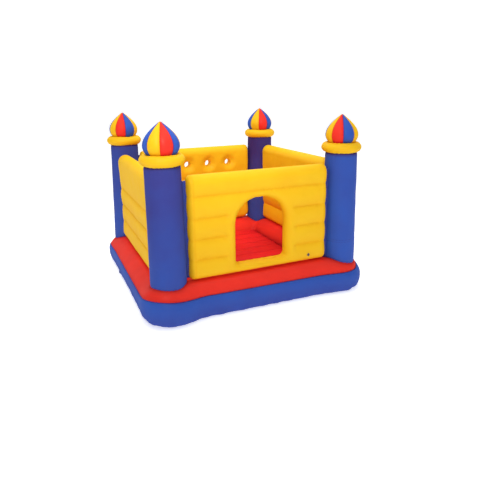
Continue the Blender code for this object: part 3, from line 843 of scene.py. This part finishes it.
def wall_mesh(wall, patches):
    """Both faces of a wall as grids, with a ring of quads let in round each hole."""
    s0 = steps_between(-WALL_END, WALL_END, 0.0078, END_R, 9)
    z0 = steps_between(wall.low, WALL_HIGH, 0.0062, 0.055, 9)
    flat_s, flat_z = np.meshgrid(s0, z0, indexing="ij")
    share = (flat_z - wall.low) / (WALL_HIGH - wall.low)
    low_cut, high_cut = wall.corners(flat_s)
    z = wall.low + low_cut + share * (WALL_HIGH - wall.low - low_cut - high_cut)
    s = flat_s * wall.end(flat_s, z) / WALL_END
    columns = len(z0)
    flat = [np.column_stack([s.ravel(), z.ravel()])]
    cut = np.zeros((len(s0) - 1, columns - 1), bool)
    base_count = s.size
    ring_faces, loops = [], []
    extra = 0
    for hole, (s_low, s_high, z_low, z_high) in zip(wall.holes, patches):
        i0, i1 = [int(np.argmin(np.abs(s0 - v))) for v in (s_low, s_high)]
        k0, k1 = [int(np.argmin(np.abs(z0 - v))) for v in (z_low, z_high)]
        cut[i0:i1, k0:k1] = True
        loop = [(i, k0) for i in range(i0, i1)] + [(i1, k) for k in range(k0, k1)]
        loop += [(i, k1) for i in range(i1, i0, -1)] + [(i0, k) for k in range(k1, k0, -1)]
        rim = np.array([i * columns + k for i, k in loop])
        centre = np.mean(hole, axis=0)
        outer = flat[0][rim]
        way = outer - centre
        angle = np.arctan2(way[:, 1], way[:, 0])
        inner_far = outline_radius(hole, centre, angle)
        inner = centre + np.column_stack([np.cos(angle), np.sin(angle)]) * inner_far[:, None]
        rings = 26 if not wall.dimple else 14
        weights = (1 - np.cos(np.linspace(0, pi / 2, rings)))[:-1]
        for weight in weights:
            flat.append(inner + (outer - inner) * weight)
        size = len(rim)
        start = base_count + extra
        rows = [np.arange(size) + start + j * size for j in range(len(weights))] + [rim]
        for near, far in zip(rows, rows[1:]):
            for j in range(size):
                after = (j + 1) % size
                ring_faces.append((near[j], near[after], far[after], far[j]))
        extra += size * len(weights)
        loops.append(rows[0])
    flat = np.vstack(flat)
    depth, shade = wall.depth(flat[:, 0], flat[:, 1])
    for loop in loops:
        depth[loop] = 0.0
    i, k = np.nonzero(~cut)
    first = i * columns + k
    quads = np.stack([first, first + columns, first + columns + 1, first + 1], axis=1)
    faces = quads.tolist() + [list(f) for f in ring_faces]
    count = len(flat)
    verts = np.vstack([np.column_stack([flat[:, 0], -depth, flat[:, 1]]),
                       np.column_stack([flat[:, 0], depth, flat[:, 1]])])
    faces += [[v + count for v in reversed(f)] for f in faces[:]]
    return verts, faces, np.concatenate([shade, shade])


def build_wall(wall, patches=(), valve=None):
    verts, faces, shade = wall_mesh(wall, patches)
    turn = Matrix.Rotation(wall.turn * pi / 2, 4, "Z") @ Matrix.Translation((0, -wall.at, 0))
    matrix = np.array(turn)
    points = verts @ matrix[:3, :3].T + matrix[:3, 3]
    if valve is not None:
        flat = near_valve(points, valve)
        points[:, 1] = points[:, 1] * (1 - flat) + valve[1] * flat
    made = mesh_object(wall.name, points, faces, VINYL["yellow"], shade)
    tidy_mesh(made)
    place(made, "yellow_vinyl", f"{wall.name}_skin", fill=0.9)


def door_outline():
    corners = ((DOOR_HALF, DOOR_LOW, DOOR_BOTTOM_R, -90), (DOOR_HALF, DOOR_HIGH, DOOR_TOP_R, 0),
               (-DOOR_HALF, DOOR_HIGH, DOOR_TOP_R, 90), (-DOOR_HALF, DOOR_LOW, DOOR_BOTTOM_R, 180))
    points = []
    for x, z, radius, start in corners:
        centre_x = x - radius if x > 0 else x + radius
        centre_z = z - radius if z == DOOR_HIGH else z + radius
        for angle in np.radians(np.linspace(start, start + 90, 16)):
            points.append((DOOR_X + centre_x + radius * cos(angle), centre_z + radius * sin(angle)))
    points = np.array(points + points[:1])
    step = np.concatenate([[0], np.cumsum(np.linalg.norm(np.diff(points, axis=0), axis=1))])
    even = np.linspace(0, step[-1], 260, endpoint=False)
    return np.column_stack([np.interp(even, step, points[:, 0]), np.interp(even, step, points[:, 1])])


def walls():
    door = door_outline()
    front = Wall("front_wall", 0, FRONT_CREASES, 200, holes=(door,), smooth_zone=0.045, ends=FRONT_ENDS)
    around_door = (DOOR_X - 0.29, DOOR_X + 0.29, front.low + 0.026, 0.905)
    build_wall(front, (around_door,), valve_point("wall_valve"))
    build_wall(Wall("right_wall", 1, SIDE_CREASES, 220, ends=RIGHT_ENDS))
    build_wall(Wall("left_wall", 3, SIDE_CREASES, 240, at=LEFT_WALL_AT))
    turns = np.linspace(0, 2 * pi, 48, endpoint=False)
    ports = [np.column_stack([x + PORTHOLE_R * np.cos(turns), PORTHOLE_Z + PORTHOLE_R * np.sin(turns)])
             for x in PORTHOLE_X]
    patches = [(x - 0.075, x + 0.075, PORTHOLE_Z - 0.072, PORTHOLE_Z + 0.072) for x in PORTHOLE_X]
    back = Wall("back_wall", 2, SIDE_CREASES, 260, holes=ports, dimple=True, ends=BACK_ENDS,
                low_cut=BACK_LOW_CUT)
    build_wall(back, patches)


def webs():
    """Blue strips that tie each wall's ends to its two towers."""
    rows, columns = 90, 12
    s = np.linspace(WALL_END - 0.045, WALL_END + 0.030, columns)[None, :]
    slack = np.sin(pi * np.linspace(0, 1, columns))[None, :]
    for number, wall in enumerate(SIDES):
        for side in (-1, 1):
            short = (wall, side) in (("right", 1), ("back", -1))
            z = np.linspace(0.36 if short else 0.28, WALL_HIGH - 0.035, rows)[:, None]
            wave = 0.0025 * waves(z, 300 + 2 * number + side, 0.09, 0.2) * slack
            at = LEFT_WALL_AT if wall == "left" else WALL_AT
            points = np.stack([side * s + 0 * z, -at + wave, z + 0 * s], axis=-1)
            turn = np.array(Matrix.Rotation(number * pi / 2, 3, "Z"))
            points = points @ turn.T
            name = f"{wall}_wall_web_{'left' if side < 0 else 'right'}"
            # Painted shade: the webs are mixed halfway toward the shade colour all over.
            made = grid_object(name, points, VINYL["blue"], False, np.full(points.shape[:2], 0.5))
            sheet = made.modifiers.new("sheet", "SOLIDIFY")
            sheet.thickness = 0.0009
            sheet.offset = 0.0
            place(made, "blue_vinyl")


# ---- valves ----

def valve_point(name):
    low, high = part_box(f"{name}_seat")
    middle = (low + high) / 2
    if name == "base_valve":
        return (low.x + 0.0012, middle.y, middle.z)
    return (middle.x, low.y + 0.0012, middle.z)


def lathe(name, profile, material, sides=64):
    """Turned piece about local Z from an outline of (radius, height)."""
    around = np.linspace(0, 2 * pi, sides, endpoint=False)
    profile = np.array(profile)
    points = np.stack([profile[:, :1] * np.cos(around), profile[:, :1] * np.sin(around),
                       profile[:, 1:] + 0 * around], axis=-1)
    return grid_object(name, points, material, True)


def finish_valve(made, local, slot_name, node, body):
    made.data.transform(local)
    tidy_mesh(made)
    bevel = made.modifiers.new("soft edges", "BEVEL")
    bevel.width = 0.00025
    bevel.segments = 2
    bevel.limit_method = "ANGLE"
    made.data.set_sharp_from_angle(angle=radians(40))
    place(made, slot_name, node, body=body)


def valve(name, facing, colour):
    point = valve_point(name)
    turn = ((0, 0, -1, 0), (-1, 0, 0, 0), (0, 1, 0, 0)) if facing == "left" else (
        (1, 0, 0, 0), (0, 0, -1, 0), (0, 1, 0, 0))
    local = Matrix.Translation(point) @ Matrix((*turn, (0, 0, 0, 1)))
    seat = ((0.0076, 0.0012), (0.0088, 0.0014), (0.0094, 0.0012), (0.0145, 0.0012), (0.0158, 0.0008),
            (0.016, 0.0004), (0.0088, 0.0004), (0.0088, -0.010), (0.0076, -0.010), (0.0076, 0.0012))
    made = lathe(f"{name}_welded_seat", seat, VALVE_SEATS[colour])
    finish_valve(made, local, "valve_plastic", f"{name}_seat", ROOT)
    stopper = ((0.0052, 0.0028), (0.0055, 0.003), (0.0105, 0.003), (0.0111, 0.0026), (0.0112, 0.0016),
               (0.0072, 0.0016), (0.0072, -0.0115), (0.0052, -0.0115), (0.0052, 0.0028))
    made = lathe(f"{name}_screw_stopper", stopper, VALVE_SEATS[colour])
    finish_valve(made, local, "valve_plastic", f"{name}_stopper", f"{name}_stopper")
    flap = ((0.0, -0.0119), (0.0066, -0.0119), (0.0066, -0.0127), (0.0, -0.0127))
    made = lathe(f"{name}_check_flap", flap, VALVE_PLASTIC)
    finish_valve(made, local, "valve_plastic", f"{name}_flap", f"{name}_flap")
    made = valve_cap(f"{name}_push_cap")
    finish_valve(made, local, "valve_plastic", f"{name}_cap", f"{name}_cap")


def valve_cap(name):
    """Push-in cap: dished disc with a raised rim, plug below, hinge tab above, finger tab below."""
    work = bmesh.new()
    outline = []
    tab_half, sides = 0.0022, 72
    for i in range(sides):
        angle = 2 * pi * i / sides
        x, y = 0.010 * cos(angle), 0.010 * sin(angle)
        if abs(x) < tab_half:
            y = 0.0125 if y > 0 else -0.0132 + 0.0008 * (x / tab_half) ** 2
        outline.append((x, y))
    rings = [(1.0, 0.0035), (1.0, 0.0049), (0.985, 0.0053), (0.9, 0.0054), (0.84, 0.0049), (0.6, 0.0046)]
    loops = []
    for share, z in rings:
        loops.append([work.verts.new((x * share, y * share, z)) for x, y in outline])
    for near, far in zip(loops, loops[1:]):
        for j in range(sides):
            after = (j + 1) % sides
            work.faces.new((near[j], near[after], far[after], far[j]))
    work.faces.new(loops[-1])
    below = [(0.0038, 0.0035), (0.0037, 0.0021), (0.0033, 0.0018)]
    plug = []
    for radius, z in below:
        turns = [2 * pi * i / sides for i in range(sides)]
        plug.append([work.verts.new((radius * cos(turn), radius * sin(turn), z)) for turn in turns])
    for near, far in zip([loops[0], *plug], plug):
        for j in range(sides):
            after = (j + 1) % sides
            work.faces.new((near[after], near[j], far[j], far[after]))
    work.faces.new(list(reversed(plug[-1])))
    bmesh.ops.recalc_face_normals(work, faces=work.faces)
    mesh = bpy.data.meshes.new(name)
    work.to_mesh(mesh)
    work.free()
    mesh.materials.append(VALVE_PLASTIC)
    made = bpy.data.objects.new(name, mesh)
    bpy.context.scene.collection.objects.link(made)
    return made


# ---- floor webs ----

def floor_webs():
    """Pleated sheet under the floor."""
    low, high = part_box("floor_webs")
    pitch = 2 * FLOOR_HALF / CHANNELS
    flange, bend = 0.012, 0.004
    path = [(low.y, low.z)]
    for i in range(1, CHANNELS):
        y = (i - CHANNELS / 2) * pitch
        pleat = ((y - flange, low.z), (y - flange, high.z), (y + flange, high.z), (y + flange, low.z))
        for y_at, z_at in pleat:
            along = np.sign(z_at - path[-1][1])
            if along:
                path += [(y_at, z_at - along * bend), (y_at, z_at)]
            else:
                path += [(y_at - bend, z_at), (y_at, z_at)]
    path.append((high.y, low.z))
    path = np.array(path)
    across = np.linspace(low.x, high.x, 40)
    points = np.stack([across[:, None] + 0 * path[:, 0], path[:, 0] + 0 * across[:, None],
                       path[:, 1] + 0 * across[:, None]], axis=-1)
    # Painted shade on the sheet under the floor.
    made = grid_object("floor_web_sheet", points, VINYL["blue"], False, np.full(points.shape[:2], 0.2))
    sheet = made.modifiers.new("sheet", "SOLIDIFY")
    sheet.thickness = 0.0006
    place(made, "blue_vinyl", "floor_webs")
    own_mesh(made)


# ---- stage ----

def backdrop():
    """Pale studio floor that sweeps up behind the object."""
    made = bpy.data.materials.new("studio_floor")
    made.use_nodes = True
    shader = made.node_tree.nodes["Principled BSDF"]
    shader.inputs["Base Color"].default_value = (0.94, 0.94, 0.94, 1)
    shader.inputs["Roughness"].default_value = 0.9
    shader.inputs["Emission Color"].default_value = (1, 1, 1, 1)
    shader.inputs["Emission Strength"].default_value = 0.55
    radius = 3.0
    bend = [(radius * sin(a) + 7.0, radius * (1 - cos(a))) for a in np.linspace(0, pi / 2, 24)]
    line = [(-14.0, 0.0), *bend, (10.0, 12.0)]
    heading = radians(23.6)
    away = Vector((sin(heading), cos(heading), 0))
    beside = Vector((cos(heading), -sin(heading), 0))
    rows = []
    for far, high in line:
        rows.append([tuple(away * far + beside * side + UP * (high - 0.0006)) for side in (-24.0, 24.0)])
    sweep = grid_object("studio_floor", np.array(rows), made)


def hang_light(name, light, spot, aim):
    made = bpy.data.objects.new(name, light)
    made.location = spot
    made.rotation_euler = (Vector(aim) - Vector(spot)).to_track_quat("-Z", "Y").to_euler()
    bpy.context.scene.collection.objects.link(made)


def soft_light(name, energy, size, spot):
    light = bpy.data.lights.new(name, "AREA")
    light.energy = energy
    light.size = size
    hang_light(name, light, spot, (0, 0, 0.55))


def inside_light():
    """Soft spot from the front that fills the inside over the front wall."""
    light = bpy.data.lights.new("inside_light", "SPOT")
    light.energy = 420
    light.spot_size = radians(32)
    light.spot_blend = 1.0
    light.shadow_soft_size = 0.5
    hang_light("inside_light", light, (-1.6, -3.0, 3.6), (0.2, 0.6, 0.5))


def stage():
    backdrop()
    soft_light("front_light", 185, 3.6, (-3.6, -8.4, 4.6))
    soft_light("key_light", 16, 3.6, (3.0, -4.6, 4.4))
    soft_light("top_light", 105, 5.0, (0.0, 0.2, 3.4))
    inside_light()
    world = bpy.data.worlds.new("studio")
    world.use_nodes = True
    world.node_tree.nodes["Background"].inputs["Color"].default_value = (1, 1, 1, 1)
    world.node_tree.nodes["Background"].inputs["Strength"].default_value = 0.25
    bpy.context.scene.world = world
    bpy.context.scene.view_settings.view_transform = "Standard"


CAMERA_AT = (-1.4442, -3.6459, 1.5475)
CAMERA_TURN = (23.605, -13.294, -0.751)     # heading, pitch and roll in degrees


def camera():
    """Viewing angle of a person standing to the front left."""
    heading, pitch, roll = [radians(angle) for angle in CAMERA_TURN]
    ahead = Vector((sin(heading) * cos(pitch), cos(heading) * cos(pitch), sin(pitch)))
    right = ahead.cross(UP).normalized()
    up = right.cross(ahead)
    level, tilt = cos(roll), sin(roll)
    right, up = right * level + up * tilt, up * level - right * tilt
    lens = bpy.data.cameras.new("camera")
    lens.lens = 34.12
    lens.sensor_width = 36
    lens.shift_x = 0.02
    lens.shift_y = -0.1
    made = bpy.data.objects.new("camera", lens)
    turn = Matrix((right, up, -ahead)).transposed().to_4x4()
    made.matrix_world = Matrix.Translation(CAMERA_AT) @ turn
    bpy.context.scene.collection.objects.link(made)
    bpy.context.scene.camera = made


camera()
stage()
base()
jump_floor()
for tower_index, tower_name in enumerate(TOWERS):
    corner_tower(tower_name, tower_index)
walls()
webs()
floor_webs()
valve("base_valve", "left", "blue")
valve("wall_valve", "front", "yellow")
